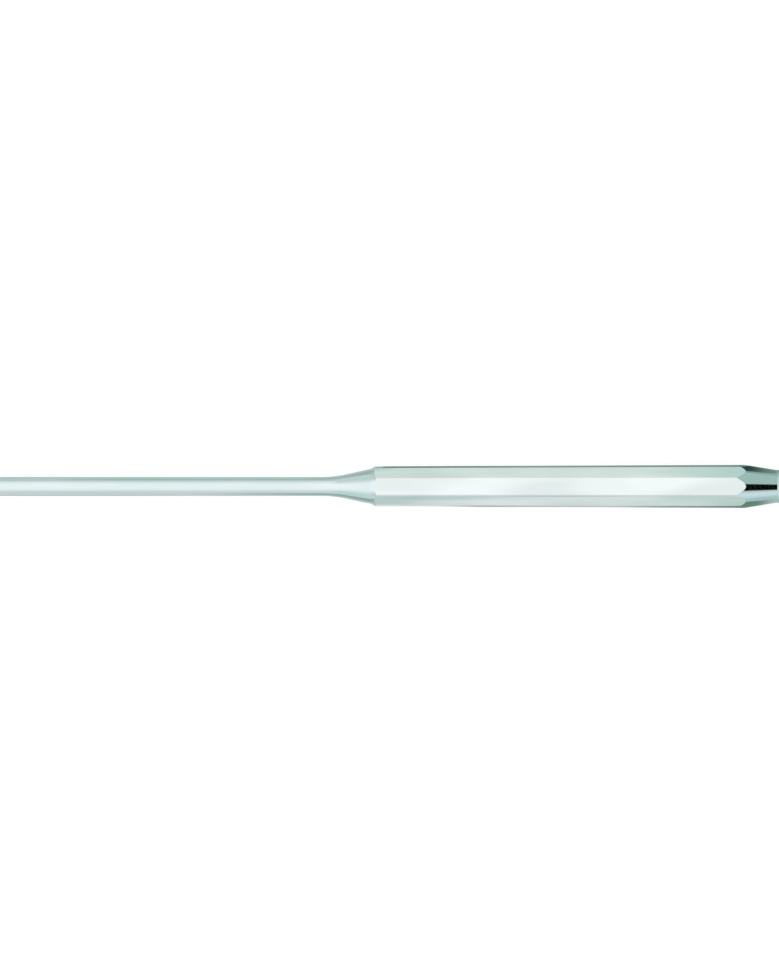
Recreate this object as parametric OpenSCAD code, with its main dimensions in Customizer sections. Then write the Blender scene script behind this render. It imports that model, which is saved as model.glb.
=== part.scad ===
// Pin punch: a long parallel pin and a conical head, turned on the two ends of an octagonal steel bar.
// It lies flush on one flat, with its tip at -X and its striking face at +X.

/* [Pin] */
// Diameter of the parallel pin
pin_d = 4.9; // [3:0.1:7]
// Parallel length of the pin, from its tip to the start of the fillet
pin_l = 82.5; // [40:0.5:110]
// Width of the 45 degree break round the tip
tip_break = 0.3; // [0.1:0.05:0.8]

/* [Flare] */
// Radius of the hollow fillet that runs the pin out into the flare
fillet_r = 30; // [10:1:50]
// Angle of the flare's side to the axis
flare_angle = 12.5; // [8:0.5:18]
// Diameter at the flare's wide end, where the shoulder starts
flare_d = 9.1; // [8:0.05:9.8]
// Angle of the shoulder's side to the axis
shoulder_angle = 35; // [20:1:60]

/* [Shank] */
// Width across the flats at their first point, by the shoulder
flats_front = 10.2; // [10:0.05:12]
// Width across the flats at their last point, by the head
flats_head = 10.95; // [10:0.05:12.5]
// Width of the narrow band that breaks the corner between two flats
corner_break = 0.4; // [0.2:0.05:0.8]

/* [Head] */
// Length of the whole tool
overall_l = 200; // [160:1:260]
// Angle of the head's side to the axis
head_angle = 9; // [6:0.5:20]
// Diameter of the head's narrow end
head_d = 8.4; // [6:0.1:9.5]
// Length of the straight land between the head's cone and its rounded edge
head_land = 0.7; // [0.2:0.1:3]
// Radius of the rounded edge round the striking face
face_edge_r = 1; // [0.3:0.1:2]

/* [Hidden] */

// Segments in a full turn of the turned surfaces, and of the arcs in their outline
turn_fn = 128;
arc_fn = 360;
// How far a cutting shape runs past what it cuts
overrun = 1;
// How deep the fillet's circle bites into the two lines that it runs out on, for a clean crossing
fillet_bite = 0.0002;

// The bar's section: the angle from the middle of a flat to its corner, and how deep each corner is broken
flat_count = 8;
corner_angle = 180 / flat_count;
break_depth = corner_break / 2 * tan(corner_angle);

// Radii of the turned ends
pin_r = pin_d / 2;
flare_r = flare_d / 2;
head_r = head_d / 2;
corner_r = max(flats_front, flats_head) / 2 / cos(corner_angle);
blank_r = corner_r + overrun;

// Fillet between the pin and the flare, no larger than the flare's wall leaves room for
fillet_limit = (flare_r - pin_r) / (1 - cos(flare_angle));
hollow_r = min(fillet_r, fillet_limit);
fillet_end_r = pin_r + hollow_r * (1 - cos(flare_angle));
fillet_end = pin_l + hollow_r * sin(flare_angle);

// Places along the axis, from the tip; the flare's cone would meet the bare pin at its start
flare_start = fillet_end - (fillet_end_r - pin_r) / tan(flare_angle);
flare_end = flare_start + (flare_r - pin_r) / tan(flare_angle);
land_end = overall_l - face_edge_r;
cone_end = land_end - head_land;
flats_start = shoulder_at(flats_front / 2);
flats_end = cone_at(flats_head / 2);
bar_start = -overrun;
bar_end = overall_l + overrun;

// How much the flats open out towards the head, and the angle that this leans a flat to the axis
flats_slope = (flats_head - flats_front) / 2 / (flats_end - flats_start);
flats_lean = atan(flats_slope);

// Where the shoulder, and where the head's cone, has a radius r
function shoulder_at(r) = flare_end + (r - flare_r) / tan(shoulder_angle);
function cone_at(r) = cone_end - (r - head_r) / tan(head_angle);

// From the axis to the flats, and to the bands that break the corners, at a place s on the axis
function to_flat(s) = flats_front / 2 + flats_slope * (s - flats_start);
function to_band(s) = to_flat(s) / cos(corner_angle) - break_depth;

// Half section of everything turned: radius across, distance from the tip upwards
module turned_section() {
    polygon([
        [0, 0],
        [pin_r - tip_break, 0],
        [pin_r, tip_break],
        [pin_r, flare_start],
        [flare_r, flare_end],
        [blank_r, shoulder_at(blank_r)],
        [blank_r, cone_at(blank_r)],
        [head_r, cone_end],
        [head_r, land_end],
        [head_r - face_edge_r, overall_l],
        [0, overall_l]
    ]);
    hollow_fillet();
    translate([head_r - face_edge_r, land_end]) circle(r = face_edge_r, $fn = arc_fn);
}

// Half section of the steel under the fillet, which a circle hollows out from the pin to the flare
module hollow_fillet() {
    difference() {
        polygon([
            [0, pin_l],
            [pin_r, pin_l],
            [fillet_end_r, fillet_end],
            [0, fillet_end]
        ]);
        translate([pin_r + hollow_r, pin_l]) circle(r = hollow_r + fillet_bite, $fn = arc_fn);
    }
}

// The turned ends, with a plain blank between them that is wider than the bar
module turned_ends() {
    rotate([0, 90, 0]) rotate_extrude($fn = turn_fn) turned_section();
}

// The space between two opposite sides of the bar, turned about the axis: each side lies at the distance
// near from the axis at the bar's start, and at the distance far at its end
module between_sides(turn, near, far) {
    rotate([turn + 90, 0, 0])
        linear_extrude(height = 2 * (blank_r + overrun), center = true)
            polygon([
                [bar_start, -near],
                [bar_end, -far],
                [bar_end, far],
                [bar_start, near]
            ]);
}

// The octagonal bar, drawn thinner towards the pin, with a narrow band along each corner
module bar() {
    intersection_for (i = [0 : flat_count / 2 - 1]) {
        turn = 2 * i * corner_angle;
        intersection() {
            between_sides(turn, to_flat(bar_start), to_flat(bar_end));
            between_sides(turn + corner_angle, to_band(bar_start), to_band(bar_end));
        }
    }
}

// The punch, leant up towards its head until its lowest flat lies flush, with its middle over the origin
module punch() {
    color([0.80, 0.86, 0.85])
        translate([-overall_l / 2 * cos(flats_lean), 0, to_flat(0) * cos(flats_lean)])
            rotate([0, -flats_lean, 0])
                intersection() {
                    turned_ends();
                    bar();
                }
}

punch();
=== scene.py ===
"""Looks of the pin punch: its fine mesh, the chrome finishes on it, and the pale studio that it lies in.

The punch lies on one flat of its octagonal shank, with its tip at -X and its striking face at +X, and the
camera looks straight down on it. Lengths are in millimetres here, and a finished mesh is scaled to metres.
"""

import logging
import math
from dataclasses import dataclass
from enum import Enum, IntEnum

import bmesh
import bpy
from mathutils import Matrix, Vector


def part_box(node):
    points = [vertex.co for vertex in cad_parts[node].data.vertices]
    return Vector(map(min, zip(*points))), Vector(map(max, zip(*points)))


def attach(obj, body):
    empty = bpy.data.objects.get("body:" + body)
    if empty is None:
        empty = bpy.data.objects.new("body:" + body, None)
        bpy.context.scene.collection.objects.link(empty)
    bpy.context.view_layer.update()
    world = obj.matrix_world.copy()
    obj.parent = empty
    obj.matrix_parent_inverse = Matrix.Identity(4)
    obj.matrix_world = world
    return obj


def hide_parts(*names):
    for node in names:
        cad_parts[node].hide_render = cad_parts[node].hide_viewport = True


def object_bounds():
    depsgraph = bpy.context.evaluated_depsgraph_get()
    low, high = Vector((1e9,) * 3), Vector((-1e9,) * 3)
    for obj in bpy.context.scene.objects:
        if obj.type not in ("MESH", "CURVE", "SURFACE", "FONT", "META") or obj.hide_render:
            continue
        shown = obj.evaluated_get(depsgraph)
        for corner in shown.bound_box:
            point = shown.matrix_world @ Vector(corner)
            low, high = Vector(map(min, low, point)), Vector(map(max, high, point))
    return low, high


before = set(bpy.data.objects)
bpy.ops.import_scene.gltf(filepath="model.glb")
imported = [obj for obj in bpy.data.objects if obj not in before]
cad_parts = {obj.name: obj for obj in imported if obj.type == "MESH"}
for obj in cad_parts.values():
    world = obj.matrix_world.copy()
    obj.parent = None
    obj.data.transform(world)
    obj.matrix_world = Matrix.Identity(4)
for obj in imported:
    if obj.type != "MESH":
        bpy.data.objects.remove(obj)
CAD_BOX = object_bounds()

LOG = logging.getLogger("pin_punch")
MM = 0.001
# Directions in the shared frame
ALONG, ACROSS, UP = (1, 0, 0), (0, 1, 0), (0, 0, 1)
# Characters of a noise pattern: a crisp grain for tool marks, a calm swell for slow waves, plain soft patches
GRAIN = {"Scale": 1.0, "Detail": 3.0, "Roughness": 0.6}
SWELL = {"Scale": 1.0, "Detail": 1.0, "Roughness": 0.4}
PATCHES = {"Scale": 1.0, "Detail": 1.0}


def linear(hex_colour: str) -> tuple[float, float, float, float]:
    """Turns an sRGB colour into the linear colour that a shader takes.

    Args:
        hex_colour: Colour as "#rrggbb".

    Returns:
        Linear red, green and blue, and an alpha of one.
    """
    toe, toe_slope, offset, gamma = 0.04045, 12.92, 0.055, 2.4
    channels = [int(hex_colour[i : i + 2], 16) / 255 for i in (1, 3, 5)]
    red, green, blue = (
        c / toe_slope if c <= toe else ((c + offset) / (1 + offset)) ** gamma for c in channels
    )
    return red, green, blue, 1.0


def glowing(hex_colour: str, strength: float) -> tuple[float, float, float, float]:
    """Turns an sRGB colour into the linear light of something that glows in it."""
    red, green, blue, _ = linear(hex_colour)
    return red * strength, green * strength, blue * strength, 1.0


def add_node(
    tree: bpy.types.NodeTree, kind: str, inputs: dict[int | str, object] | None = None, **settings: object
) -> bpy.types.Node:
    """Adds one node to a tree, sets it up and fills its inputs.

    Args:
        tree: Node tree that takes the node.
        kind: Blender's name for the type of node.
        inputs: What goes into each input, by its name or number: a socket to link, or a plain value.
        settings: Attributes of the node itself.

    Returns:
        The new node.
    """
    node = tree.nodes.new(kind)
    for name, value in settings.items():
        setattr(node, name, value)
    for key, value in (inputs or {}).items():
        if isinstance(value, bpy.types.NodeSocket):
            tree.links.new(value, node.inputs[key])
        else:
            node.inputs[key].default_value = value
    return node


def finish_mesh(bm: bmesh.types.BMesh, name: str) -> bpy.types.Object:
    """Turns a finished bmesh into an object at the origin, and frees it.

    Args:
        bm: Mesh in metres, in the shared frame.
        name: Name of the piece.

    Returns:
        The new object, linked to the scene.
    """
    mesh = bpy.data.meshes.new(name)
    bm.to_mesh(mesh)
    bm.free()
    piece = bpy.data.objects.new(name, mesh)
    bpy.context.scene.collection.objects.link(piece)
    return piece


class Surface(IntEnum):
    """How a face of the bar was made, which is also the number of its material slot."""

    TURNED = 0
    GROUND = 1
    FACED = 2
    RIM = 3


class Marks(Enum):
    """Which way the fine marks of a tool run on a surface."""

    ALONG_BAR = "along the bar"
    ROUND_AXIS = "round the axis"
    FACE_RINGS = "in rings on a flat end"


@dataclass
class Outline:
    """A line drawn in the plane of the tool's axis, as wire that is spun round the axis afterwards.

    A point is given by how far along the axis it lies and how far across from it.
    """

    along: float
    across: float

    def __post_init__(self) -> None:
        """Starts the wire at its first point."""
        self.wire = bmesh.new()
        self.pen = bmesh.ops.create_vert(self.wire, co=(self.along, 0, self.across))["vert"][0]

    def line_to(self, along: float, across: float) -> None:
        """Draws a straight line to a point."""
        self.pen = bmesh.ops.extrude_vert_indiv(self.wire, verts=[self.pen])["verts"][0]
        self.pen.co = (along, 0, across)

    def arc_about(self, along: float, across: float, degrees: float, steps: int) -> None:
        """Draws an arc from the pen's place.

        Args:
            along: Place of the arc's centre along the axis.
            across: Distance of the centre from the axis.
            degrees: How far the arc turns, positive where it bulges outwards.
            steps: Number of straight pieces.
        """
        swept = bmesh.ops.spin(
            self.wire, geom=[self.pen], cent=(along, 0, across), axis=(0, 1, 0), angle=math.radians(degrees),
            steps=steps, use_merge=False,
        )
        self.pen = next(item for item in swept["geom_last"] if isinstance(item, bmesh.types.BMVert))


@dataclass
class PunchBar:
    """The whole punch: one octagonal bar, with a pin and flare turned on one end and a head on the other.

    The sizes are the part's own, in millimetres and degrees. Places along the axis are counted from the tip.
    """

    # Pin, and the fillet that runs it out into the flare
    pin_d: float = 4.9
    pin_l: float = 82.5
    tip_break: float = 0.3
    fillet_r: float = 30.0
    # Flare and shoulder, with the small round between them
    flare_angle: float = 12.5
    flare_d: float = 9.1
    shoulder_angle: float = 35.0
    kink_r: float = 2.0
    # Octagonal shank: widths across the flats at both ends, and the narrow round on its corners, whose
    # radius grows by the roll-off towards the middle of a flat
    flat_count: int = 8
    flats_front: float = 10.2
    flats_head: float = 10.95
    corner_break: float = 0.4
    roll_off: float = 2.2
    # Head
    overall_l: float = 200.0
    head_angle: float = 9.0
    head_d: float = 8.4
    head_land: float = 0.7
    face_edge_r: float = 1.0
    # How far the turned blank stands past the corners before the flats are ground
    blank_spare: float = 1.0
    # Fineness of the mesh: steps round the axis, cuts for each flat with its corner, and steps along each arc
    turn_steps: int = 288
    corner_steps: int = 9
    fillet_steps: int = 16
    kink_steps: int = 6
    edge_steps: int = 16
    # Edges that bend less than this are shaded smooth, and points closer than this are one
    crease_degrees: float = 7.5
    weld: float = 1e-5

    def __post_init__(self) -> None:
        """Works out the places and angles that follow from the sizes."""
        self.corner_angle = math.pi / self.flat_count
        self.corner_r = self.corner_break / 2 / math.sin(self.corner_angle)
        widest = max(self.flats_front, self.flats_head) / 2 / math.cos(self.corner_angle)
        self.blank_r = widest + self.blank_spare
        flare, shoulder = math.radians(self.flare_angle), math.radians(self.shoulder_angle)
        head = math.radians(self.head_angle)
        fillet_end_r = self.pin_d / 2 + self.fillet_r * (1 - math.cos(flare))
        fillet_end = self.pin_l + self.fillet_r * math.sin(flare)
        self.flare_end = fillet_end + (self.flare_d / 2 - fillet_end_r) / math.tan(flare)
        self.land_end = self.overall_l - self.face_edge_r
        self.cone_end = self.land_end - self.head_land
        self.blank_start = self.flare_end + (self.blank_r - self.flare_d / 2) / math.tan(shoulder)
        self.blank_end = self.cone_end - (self.blank_r - self.head_d / 2) / math.tan(head)
        flats_start = self.flare_end + (self.flats_front - self.flare_d) / 2 / math.tan(shoulder)
        flats_end = self.cone_end - (self.flats_head - self.head_d) / 2 / math.tan(head)
        self.flats_slope = (self.flats_head - self.flats_front) / 2 / (flats_end - flats_start)
        self.flats_lean = math.atan(self.flats_slope)
        self.to_flat_at_tip = self.flats_front / 2 - self.flats_slope * flats_start

    def placing(self) -> Matrix:
        """Works out how the tool, drawn with its axis along X, is laid flush on its lowest flat.

        Returns:
            Turn and move, in millimetres.
        """
        cos_lean = math.cos(self.flats_lean)
        move = Matrix.Translation((-self.overall_l / 2 * cos_lean, 0, self.to_flat_at_tip * cos_lean))
        return move @ Matrix.Rotation(-self.flats_lean, 4, "Y")

    def outline(self) -> Outline:
        """Draws the half section of the turned blank.

        Returns:
            Line from the tip's rim to the striking face's rim.
        """
        flare, shoulder = math.radians(self.flare_angle), math.radians(self.shoulder_angle)
        kink_l = self.kink_r * math.tan((shoulder - flare) / 2)
        kink_along = self.flare_end - kink_l * math.cos(flare)
        kink_across = self.flare_d / 2 - kink_l * math.sin(flare)
        pin_r, head_r = self.pin_d / 2, self.head_d / 2
        line = Outline(0, pin_r - self.tip_break)
        line.line_to(self.tip_break, pin_r)
        line.line_to(self.pin_l, pin_r)
        line.arc_about(self.pin_l, pin_r + self.fillet_r, -self.flare_angle, self.fillet_steps)
        line.line_to(kink_along, kink_across)
        line.arc_about(
            kink_along - self.kink_r * math.sin(flare),
            kink_across + self.kink_r * math.cos(flare),
            self.flare_angle - self.shoulder_angle,
            self.kink_steps,
        )
        line.line_to(self.blank_start, self.blank_r)
        line.line_to(self.blank_end, self.blank_r)
        line.line_to(self.cone_end, head_r)
        line.line_to(self.land_end, head_r)
        line.arc_about(self.land_end, head_r - self.face_edge_r, 90, self.edge_steps)
        return line

    def turned_blank(self) -> bmesh.types.BMesh:
        """Spins the outline round the axis and closes both ends with a flat face.

        Returns:
            Mesh of the blank, in millimetres, lying along +X.
        """
        bm = self.outline().wire
        bmesh.ops.spin(
            bm, geom=bm.verts[:] + bm.edges[:], cent=(0, 0, 0), axis=(1, 0, 0), angle=math.tau,
            steps=self.turn_steps, use_merge=True,
        )
        bmesh.ops.remove_doubles(bm, verts=bm.verts, dist=self.weld)
        rims = [edge for edge in bm.edges if edge.is_boundary]
        for end in (0, self.overall_l):
            rim = [edge for edge in rims if abs(edge.verts[0].co.x - end) < self.tip_break / 2]
            bmesh.ops.edgeloop_fill(bm, edges=rim, mat_nr=Surface.FACED)
        for face in bm.faces:
            if face.material_index == Surface.TURNED and face.calc_center_median().x > self.cone_end:
                face.material_index = Surface.RIM
        return bm

    def grind_side(self, bm: bmesh.types.BMesh, turn: float) -> None:
        """Cuts one flat, or one narrow facet of a rounded corner, along the whole blank.

        Args:
            bm: Mesh of the blank, which is changed.
            turn: Angle of the side round the axis, from the flat that the tool lies on.
        """
        past_corner = turn % (2 * self.corner_angle) - self.corner_angle
        share = math.cos(past_corner) / math.cos(self.corner_angle)
        round_r = self.corner_r + self.roll_off * (past_corner / self.corner_angle) ** 2
        depth = (self.to_flat_at_tip - round_r) * share + round_r
        away = Vector((0, math.sin(turn), -math.cos(turn)))
        normal = away - Vector((self.flats_slope * share, 0, 0))
        cut = bmesh.ops.bisect_plane(
            bm, geom=bm.verts[:] + bm.edges[:] + bm.faces[:], dist=self.weld, plane_co=away * depth,
            plane_no=normal.normalized(), clear_outer=True,
        )
        rim = [item for item in cut["geom_cut"] if isinstance(item, bmesh.types.BMEdge)]
        bmesh.ops.edgeloop_fill(bm, edges=rim, mat_nr=Surface.GROUND)

    def build(self) -> bpy.types.Object:
        """Makes the punch in its place.

        Returns:
            The punch as one closed piece, with a material slot number on every face.
        """
        bm = self.turned_blank()
        side_count = self.flat_count * self.corner_steps
        for side in range(side_count):
            self.grind_side(bm, math.tau * side / side_count)
        bmesh.ops.recalc_face_normals(bm, faces=bm.faces)
        bmesh.ops.transform(bm, matrix=Matrix.Scale(MM, 4) @ self.placing(), verts=bm.verts)
        for edge in bm.edges:
            edge.smooth = edge.calc_face_angle() < math.radians(self.crease_degrees)
        for face in bm.faces:
            face.smooth = True
        piece = finish_mesh(bm, "punch_bar")
        shading = piece.modifiers.new("even_shading", "WEIGHTED_NORMAL")
        shading.keep_sharp = True
        return piece

    def dress(self, piece: bpy.types.Object) -> None:
        """Gives every surface of the punch its finish, in the order of the slot numbers on its faces."""
        for surface in Surface:
            piece.data.materials.append(FINISHES[surface].build(self.placing()))


@dataclass(frozen=True)
class ChromePlate:
    """Bright chromium plate over steel: a hard, cool, slightly mint mirror that keeps the marks under it."""

    name: str
    marks: Marks
    # Chromium's own grey, and the greyer tone that drifts through it where the polish is thinner
    tint: str
    thin_tint: str
    roughness: float = 0.06
    dull_roughness: float = 0.12
    # Spacing, length and depth of the marks under the plate, drawn coarser than real grit so that they show
    mark_spacing_mm: float = 0.35
    mark_length_mm: float = 30.0
    mark_depth_mm: float = 0.0006
    # Length, width and depth of the slow waves that hand grinding leaves
    wave_length_mm: float = 22.0
    wave_width_mm: float = 6.0
    wave_depth_mm: float = 0.02
    # Between which heights of the waves the grey changes over
    drift_range: tuple[float, float] = (0.35, 0.65)

    def mark_height(self, tree: bpy.types.NodeTree, place: bpy.types.NodeSocket) -> bpy.types.NodeSocket:
        """Adds the pattern of the fine marks.

        Args:
            tree: Node tree of the material.
            place: Place on the tool in metres: along the axis, then across it twice.

        Returns:
            Socket with the marks' height, from zero to one.
        """
        spacing, length = self.mark_spacing_mm * MM, self.mark_length_mm * MM
        if self.marks is Marks.FACE_RINGS:
            off_axis = {0: place, 1: (0, 1, 1)}
            across = add_node(tree, "ShaderNodeVectorMath", off_axis, operation="MULTIPLY")
            ring = add_node(tree, "ShaderNodeVectorMath", {0: across.outputs[0]}, operation="LENGTH")
            turns = add_node(
                tree, "ShaderNodeMath", {0: ring.outputs["Value"], 1: 1 / spacing}, operation="MULTIPLY"
            )
            rings = add_node(
                tree, "ShaderNodeTexNoise", {"W": turns.outputs[0], **GRAIN}, noise_dimensions="1D"
            )
            return rings.outputs[0]
        density = {
            Marks.ALONG_BAR: (1 / length, 1 / spacing, 1 / spacing),
            Marks.ROUND_AXIS: (1 / spacing, 1 / length, 1 / length),
        }[self.marks]
        spread = add_node(tree, "ShaderNodeVectorMath", {0: place, 1: density}, operation="MULTIPLY")
        return add_node(tree, "ShaderNodeTexNoise", {"Vector": spread.outputs[0], **GRAIN}).outputs[0]

    def build(self, placing: Matrix) -> bpy.types.Material:
        """Makes the material.

        Args:
            placing: Turn and move, in millimetres, of the tool in the shared frame.

        Returns:
            The new material.
        """
        material = bpy.data.materials.new(self.name)
        material.use_nodes = True
        tree = material.node_tree
        tree.nodes.clear()
        back = placing.inverted()
        place = add_node(
            tree,
            "ShaderNodeMapping",
            {
                "Vector": add_node(tree, "ShaderNodeTexCoord").outputs["Object"],
                "Location": back.to_translation() * MM,
                "Rotation": back.to_euler(),
            },
        ).outputs[0]
        length, width = self.wave_length_mm * MM, self.wave_width_mm * MM
        wave_density = (1 / length, 1 / width, 1 / width)
        wave_place = add_node(tree, "ShaderNodeVectorMath", {0: place, 1: wave_density}, operation="MULTIPLY")
        wave = add_node(tree, "ShaderNodeTexNoise", {"Vector": wave_place.outputs[0], **SWELL}).outputs[0]
        mark = self.mark_height(tree, place)
        low, high = self.drift_range
        drift = add_node(tree, "ShaderNodeMapRange", {"Value": wave, "From Min": low, "From Max": high})
        tints = {"Factor": drift.outputs[0], "A": linear(self.tint), "B": linear(self.thin_tint)}
        tint = add_node(tree, "ShaderNodeMix", tints, data_type="RGBA")
        dullness = add_node(
            tree,
            "ShaderNodeMapRange",
            {"Value": mark, "To Min": self.roughness, "To Max": self.dull_roughness},
        )
        waved = add_node(
            tree, "ShaderNodeBump", {"Height": wave, "Distance": self.wave_depth_mm * MM, "Strength": 1.0}
        )
        marked = add_node(
            tree,
            "ShaderNodeBump",
            {
                "Height": mark,
                "Distance": self.mark_depth_mm * MM,
                "Strength": 1.0,
                "Normal": waved.outputs[0],
            },
        )
        shader = add_node(
            tree,
            "ShaderNodeBsdfPrincipled",
            {
                "Base Color": tint.outputs["Result"],
                "Metallic": 1.0,
                "Roughness": dullness.outputs[0],
                "Normal": marked.outputs[0],
            },
        )
        add_node(tree, "ShaderNodeOutputMaterial", {"Surface": shader.outputs[0]})
        return material


FINISHES: dict[Surface, ChromePlate] = {
    # Turned on a lathe and plated: a bright mirror that fine rings blur a little along the tool
    Surface.TURNED: ChromePlate("chrome_on_turned_steel", Marks.ROUND_AXIS, "#c3c7c8", "#bcc3c3"),
    # Ground on a belt and plated: whiter than the turned ends, with faint lines that run along the bar
    Surface.GROUND: ChromePlate("chrome_on_ground_steel", Marks.ALONG_BAR, "#cbcccb", "#bec1bf"),
    # Faced off square: a satin disc with fine rings, in which nothing is mirrored sharply
    Surface.FACED: ChromePlate(
        "chrome_on_faced_steel", Marks.FACE_RINGS, "#c3c7c8", "#bcc3c3", roughness=0.16, dull_roughness=0.3,
        mark_depth_mm=0.002,
    ),
    # Tumbled dull where the hammer can reach: a broad, soft grey on the land and the rounded edge
    Surface.RIM: ChromePlate(
        "satin_chrome_on_struck_rim", Marks.ROUND_AXIS, "#c9d2cf", "#bfc8c5", roughness=0.52,
        dull_roughness=0.62,
    ),
}


@dataclass(frozen=True)
class SkyPatch:
    """One soft-edged area of the light tent, painted over what lies under it.

    Each range says where, in one part of the direction towards the tent, the patch starts, is full, is full
    no longer and ends. A part that is left out has no limit, and two equal numbers leave that end open.
    """

    name: str
    colour: str
    strength: float
    along: tuple[float, float, float, float] | None = None
    across: tuple[float, float, float, float] | None = None
    upward: tuple[float, float, float, float] | None = None


@dataclass(frozen=True)
class Fade:
    """Another tone that takes over across a card, between two places measured in one direction."""

    tone: str
    starts: float
    full: float
    direction: tuple[float, float, float] = ALONG
    # The card's own glow where it is left out
    glow: float | None = None


@dataclass(frozen=True)
class Card:
    """A glowing card that only the chrome sees: a flag that lies beside the tool, or a low wall further off.

    Its ranges are in millimetres from the middle of the tool: along it, across it and up from the floor.
    """

    name: str
    tone: str
    along: tuple[float, float]
    across: tuple[float, float]
    # A flag lies just clear of the floor
    height: tuple[float, float] = (0.05, 0.05)
    glow: float = 1.0
    fades: tuple[Fade, ...] = ()
    # How far soft patches move the tone, and their size along and across the card
    drift: float = 0.0
    patch_long: float = 45.0
    patch_wide: float = 14.0

    def place(self) -> bpy.types.Object:
        """Stands or lays the card in its place.

        Returns:
            The card, which isn't part of the object.
        """
        bm = bmesh.new()
        corner = bmesh.ops.create_vert(bm, co=(self.along[0], self.across[0], self.height[0]))["vert"][0]
        end = bmesh.ops.extrude_vert_indiv(bm, verts=[corner])["verts"][0]
        end.co.x = self.along[1]
        swept = bmesh.ops.extrude_edge_only(bm, edges=bm.edges[:])["geom"]
        moved = [item for item in swept if isinstance(item, bmesh.types.BMVert)]
        sweep = (0, self.across[1] - self.across[0], self.height[1] - self.height[0])
        bmesh.ops.translate(bm, vec=sweep, verts=moved)
        bmesh.ops.scale(bm, vec=(MM, MM, MM), verts=bm.verts)
        card = finish_mesh(bm, self.name)
        card.data.materials.append(self.board())
        card.visible_camera = card.visible_diffuse = card.visible_shadow = False
        return card

    def board(self) -> bpy.types.Material:
        """Makes the card's own glowing tone, with its fades and soft patches.

        Returns:
            The new material.
        """
        material = bpy.data.materials.new(self.name + "_board")
        material.use_nodes = True
        tree = material.node_tree
        tree.nodes.clear()
        place = add_node(tree, "ShaderNodeTexCoord").outputs["Object"]
        light = glowing(self.tone, self.glow)
        for fade in self.fades:
            glow = self.glow if fade.glow is None else fade.glow
            towards = [part / MM for part in fade.direction]
            far = add_node(tree, "ShaderNodeVectorMath", {0: place, 1: towards}, operation="DOT_PRODUCT")
            share = add_node(
                tree,
                "ShaderNodeMapRange",
                {"Value": far.outputs["Value"], "From Min": fade.starts, "From Max": fade.full},
                interpolation_type="SMOOTHSTEP",
            )
            tones = {"Factor": share.outputs[0], "A": light, "B": glowing(fade.tone, glow)}
            light = add_node(tree, "ShaderNodeMix", tones, data_type="RGBA").outputs["Result"]
        strength = 1.0
        if self.drift:
            density = (1 / (self.patch_long * MM), 1 / (self.patch_wide * MM), 1 / (self.patch_wide * MM))
            spread = add_node(tree, "ShaderNodeVectorMath", {0: place, 1: density}, operation="MULTIPLY")
            soft = add_node(tree, "ShaderNodeTexNoise", {"Vector": spread.outputs[0], **PATCHES})
            drift = {"Value": soft.outputs[0], "To Min": 1 - self.drift, "To Max": 1 + self.drift}
            strength = add_node(tree, "ShaderNodeMapRange", drift).outputs[0]
        board = add_node(tree, "ShaderNodeEmission", {"Color": light, "Strength": strength})
        add_node(tree, "ShaderNodeOutputMaterial", {"Surface": board.outputs[0]})
        return material


# Directions that lean towards the head's end, which only the head's cone mirrors in the view from above
TOWARDS_HEAD = (0.12, 0.28, 1, 1)
# Where flags start beside the shank and beside the pin, and how far out the longest of them reach
BY_SHANK, BY_PIN, OUTER_END = 5.6, 2.6, 400
# How far off the two walls stand, and their run along the tool
WALL_OFF, WALL_RUN = 250, (-16, 122)


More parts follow.
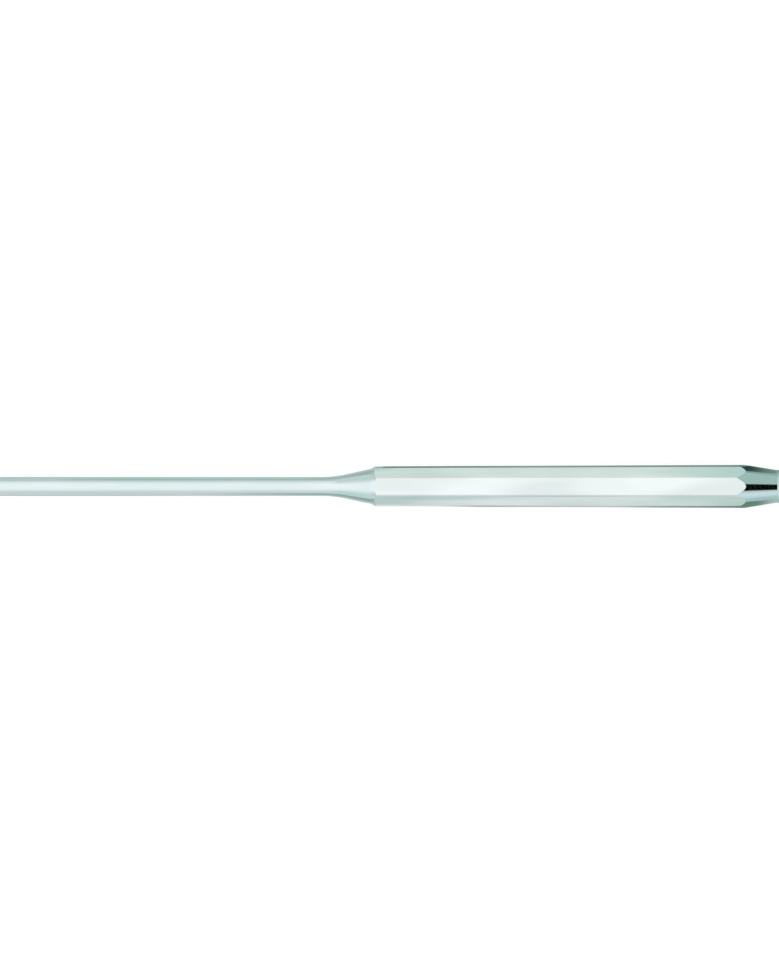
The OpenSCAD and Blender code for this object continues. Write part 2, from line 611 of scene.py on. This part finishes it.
@dataclass
class Studio:
    """The pale floor, the light tent over it, the cards in it, and the camera straight above the punch."""

    # The photograph's frame, its scale, and where the tip and the tool's axis lie in it
    image_w_px: int = 779
    image_h_px: int = 974
    px_per_mm: float = 3.93
    tip_px: float = -3.0
    axis_px: float = 486.4
    # How far above the tool the camera hangs, and how far it sees
    camera_height: float = 1500.0
    camera_reach: float = 100000.0
    # The floor's side, tone and glow, and the strength of the tent's own light
    floor_side: float = 8000.0
    floor_tone: str = "#898989"
    floor_glow: float = 0.8
    sky_strength: float = 1.65
    # Elevation in degrees and colour of the tent's own light, from straight down to straight up
    sky_stops: tuple[tuple[float, str], ...] = (
        (-90, "#c4cfce"),
        (0, "#c4cfce"),
        (13, "#c9d4d3"),
        (27, "#d4dfde"),
        (41, "#e4ecec"),
        (54, "#eff6f6"),
        (66, "#f5fbfc"),
        (90, "#f5fbfc"),
    )
    # Areas of the tent, painted in this order: the two long sides first, then what the head's cone mirrors
    patches: tuple[SkyPatch, ...] = (
        SkyPatch("far_side", "#bccfca", 1.55, across=(0.45, 0.95, 1, 1), upward=(-1, -1, 0.1, 0.5)),
        SkyPatch("far_tip_side", "#cadcd6", 1.55, along=(-1, -1, -0.3, -0.15), across=(0.3, 0.85, 1, 1)),
        SkyPatch("near_side", "#d1dcdb", 1.65, across=(-1, -1, -0.95, -0.7), upward=(-1, -1, 0.16, 0.46)),
        SkyPatch("near_tip_side", "#d8fbf5", 1.2, along=(-1, -1, -0.3, -0.1), across=(-1, -1, -0.97, -0.55)),
        SkyPatch(
            "bright_window", "#f8fdfd", 1.65, along=(-1, -1, -0.7, -0.4), across=(-0.58, -0.33, 0.33, 0.58),
            upward=(0.1, 0.3, 1, 1),
        ),
        SkyPatch("far_corner", "#d1f4ea", 1.0, along=TOWARDS_HEAD, across=(0.1, 0.2, 1, 1)),
        SkyPatch(
            "far_corner_low", "#8fb5a9", 1.0, along=(0.1, 0.22, 1, 1), across=(0.4, 0.7, 1, 1),
            upward=(-1, -1, 0.02, 0.16),
        ),
        SkyPatch("near_corner", "#e8fdff", 1.3, along=TOWARDS_HEAD, across=(-1, -1, -0.2, -0.1)),
        SkyPatch(
            "near_corner_low", "#d5f5fa", 1.0, along=TOWARDS_HEAD, across=(-1, -1, -0.3, -0.2),
            upward=(-1, -1, 0.12, 0.6),
        ),
        SkyPatch(
            "near_corner_high", "#deeee6", 1.05, along=TOWARDS_HEAD, across=(-0.6, -0.42, -0.2, -0.1),
            upward=(0.5, 0.7, 1, 1),
        ),
        SkyPatch(
            "camera_hood", "#000000", 0.0, along=(0.24, 0.28, 0.5, 0.55), across=(-0.425, -0.355, 0.18, 0.25),
            upward=(0.5, 0.6, 1, 1),
        ),
    )
    # Flags that the tool's lower half mirrors, beside its shank, flare, pin and head, and two low walls that
    # its side flats mirror
    cards: tuple[Card, ...] = (
        Card(
            "far_flag", "#92a5a0", along=(-2, 92), across=(BY_SHANK, 110),
            fades=(
                Fade("#b4bebd", 16, 38),
                Fade("#a1b4ae", 50, 72),
                Fade("#90a69f", 87, 92),
            ),
        ),
        Card(
            "far_flare_flag", "#cbdeda", along=(-30, -2), across=(BY_SHANK, 60),
            fades=(Fade("#dff5f1", 16, 8, ACROSS), Fade("#e2fbf6", -14, -24)),
        ),
        Card("far_ground", "#b4cbc7", along=(-90, -2), across=(60, OUTER_END)),
        Card("far_pin_flag", "#e2fbf6", along=(-110, -30), across=(BY_PIN, 60)),
        Card(
            "far_head_flag", "#33534e", along=(92, OUTER_END), across=(BY_SHANK, 420),
            fades=(
                Fade("#8bada1", 89.5, 97, (1, -0.25, 0)),
                Fade("#cfe8df", 96.6, 99.6, (1, -0.25, 0)),
            ),
        ),
        Card("front_head_flag", "#d8eee6", along=(101, OUTER_END), across=(-BY_SHANK, BY_SHANK)),
        Card(
            "near_flag", "#f4f9f8", along=(-4, 90), across=(-60, -BY_SHANK), glow=1.36,
            fades=(
                Fade("#b6c3bf", 12, 24, glow=1.0),
                Fade("#edf9f8", 22, 48, glow=1.0),
                Fade("#9db0a9", 52, 72, glow=1.0),
            ),
        ),
        Card(
            "near_flare_flag", "#b9d4d1", along=(-60, -4), across=(-150, -4.5),
            fades=(
                Fade("#dff3f0", -20, -9, ACROSS),
                Fade("#ecf9f8", -11, -32, (1, -0.3, 0)),
                Fade("#f4f8f8", -34, -57, glow=1.14),
                Fade("#e3ebea", -5, -1.5, (-0.1, 1, 0)),
                Fade("#f4f9f8", -8, -4, glow=1.36),
            ),
        ),
        Card(
            "near_pin_flag", "#dfeae9", along=(-110, -60), across=(-9, -BY_PIN),
            fades=(Fade("#e3ebea", -80, -60),),
        ),
        Card(
            "near_head_flag", "#84a697", along=(90, OUTER_END), across=(-420, -BY_SHANK),
            fades=(
                Fade("#d1e8e4", 91.5, 97.5, (1, 0.25, 0)),
                Fade("#e0f3ed", 96.6, 98.6, (1, 0.25, 0)),
            ),
        ),
        Card(
            "far_wall", "#d6eee8", along=WALL_RUN, across=(WALL_OFF, WALL_OFF), height=(0, 85), glow=1.45,
            drift=0.12,
            fades=(
                Fade("#dff6f0", 5, 20),
                Fade("#e6f0ee", 7.5, 9.5, UP),
                Fade("#c7e2db", 72, 92),
                Fade("#cdedf6", 96, 106),
            ),
        ),
        Card(
            "near_wall", "#e2f0f0", along=WALL_RUN, across=(-WALL_OFF, -WALL_OFF), height=(0, 40), glow=1.4,
            drift=0.12,
            fades=(
                Fade("#eef9fa", 2, 14),
                Fade("#dff2ef", 58, 88),
                Fade("#c9e2dc", 92, 106),
                Fade("#bfd5d2", -27.5, -31.5, (1, 0, -4.25)),
            ),
        ),
    )

    def sky(self) -> None:
        """Makes the world: brightest overhead, mint-grey towards the horizon, with soft-edged areas."""
        world = bpy.data.worlds.new("light_tent")
        bpy.context.scene.world = world
        world.use_nodes = True
        tree = world.node_tree
        tree.nodes.clear()
        towards = add_node(tree, "ShaderNodeTexCoord").outputs["Generated"]
        part = add_node(tree, "ShaderNodeSeparateXYZ", {0: towards}).outputs
        height = add_node(tree, "ShaderNodeMapRange", {"Value": part["Z"], "From Min": -1.0, "From Max": 1.0})
        ramp = add_node(tree, "ShaderNodeValToRGB", {"Fac": height.outputs[0]})
        stops = ramp.color_ramp.elements
        given = len(stops)
        for number, (elevation, colour) in enumerate(self.sky_stops):
            position = (math.sin(math.radians(elevation)) + 1) / 2
            stop = stops[number] if number < given else stops.new(position)
            stop.position = position
            stop.color = linear(colour)
        scaled = {0: ramp.outputs[0], "Scale": self.sky_strength}
        light = add_node(tree, "ShaderNodeVectorMath", scaled, operation="SCALE").outputs[0]
        for patch in self.patches:
            light = self.paint(tree, light, part, patch)
        tent = add_node(tree, "ShaderNodeBackground", {"Color": light})
        add_node(tree, "ShaderNodeOutputWorld", {"Surface": tent.outputs[0]})

    def paint(
        self,
        tree: bpy.types.NodeTree,
        light: bpy.types.NodeSocket,
        part: bpy.types.NodeOutputs,
        patch: SkyPatch,
    ) -> bpy.types.NodeSocket:
        """Paints one patch over the light of the tent.

        Args:
            tree: Node tree of the world.
            light: Light so far.
            part: The three parts of the direction towards the tent.
            patch: What is painted, and where.

        Returns:
            Socket with the light after the patch.
        """
        share = 1.0
        for axis, limits in (("X", patch.along), ("Y", patch.across), ("Z", patch.upward)):
            if limits is None:
                continue
            starts, full, full_end, ends = limits
            for outside, inside in ((starts, full), (ends, full_end)):
                if outside == inside:
                    continue
                edge = add_node(
                    tree,
                    "ShaderNodeMapRange",
                    {"Value": part[axis], "From Min": outside, "From Max": inside, "To Max": 1.0},
                    interpolation_type="SMOOTHSTEP",
                )
                share = add_node(
                    tree, "ShaderNodeMath", {0: edge.outputs[0], 1: share}, operation="MULTIPLY"
                ).outputs[0]
        tones = {"Factor": share, "A": light, "B": glowing(patch.colour, patch.strength)}
        return add_node(tree, "ShaderNodeMix", tones, data_type="RGBA").outputs["Result"]

    def floor(self) -> bpy.types.Object:
        """Lays the pale floor that the punch rests on, which glows as a light table does.

        Returns:
            The floor, which isn't part of the object.
        """
        bm = bmesh.new()
        bmesh.ops.create_grid(bm, x_segments=1, y_segments=1, size=self.floor_side / 2 * MM)
        floor = finish_mesh(bm, "studio_floor")
        material = bpy.data.materials.new("backlit_opal_acrylic")
        material.use_nodes = True
        tree = material.node_tree
        tree.nodes.clear()
        acrylic = add_node(tree, "ShaderNodeBsdfDiffuse", {"Color": linear(self.floor_tone)})
        glow = add_node(tree, "ShaderNodeEmission", {"Strength": self.floor_glow})
        both = add_node(tree, "ShaderNodeAddShader", {0: acrylic.outputs[0], 1: glow.outputs[0]})
        add_node(tree, "ShaderNodeOutputMaterial", {"Surface": both.outputs[0]})
        floor.data.materials.append(material)
        return floor

    def camera(self, target_z: float) -> bpy.types.Object:
        """Hangs the camera above the punch and frames it as in the photograph.

        Args:
            target_z: Height, in metres, at which the photograph's scale holds.

        Returns:
            The camera.
        """
        data = bpy.data.cameras.new("camera")
        camera = bpy.data.objects.new("camera", data)
        bpy.context.scene.collection.objects.link(camera)
        middle_along = (self.image_w_px / 2 - self.tip_px) / self.px_per_mm
        middle_across = (self.axis_px - self.image_h_px / 2) / self.px_per_mm
        low, _ = CAD_BOX
        camera.location = (low[0] + middle_along * MM, middle_across * MM, target_z + self.camera_height * MM)
        data.lens = data.sensor_width * self.camera_height / (self.image_h_px / self.px_per_mm)
        data.clip_end = self.camera_reach * MM
        bpy.context.scene.camera = camera
        return camera


def main() -> None:
    """Builds the punch and its studio, and reports what was made."""
    logging.basicConfig(level=logging.INFO, format="%(name)s: %(message)s")
    bar = PunchBar()
    punch = bar.build()
    bar.dress(punch)
    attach(punch, "root")
    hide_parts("punch")
    LOG.info("%s: %d faces, rides on root", punch.name, len(punch.data.polygons))

    studio = Studio()
    studio.sky()
    LOG.info("%s: stage", studio.floor().name)
    for card in studio.cards:
        LOG.info("%s: stage", card.place().name)
    low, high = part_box("punch")
    studio.camera((low.z + high.z) / 2)
    bpy.context.scene.view_settings.view_transform = "Standard"


if __name__ == "__main__":
    main()
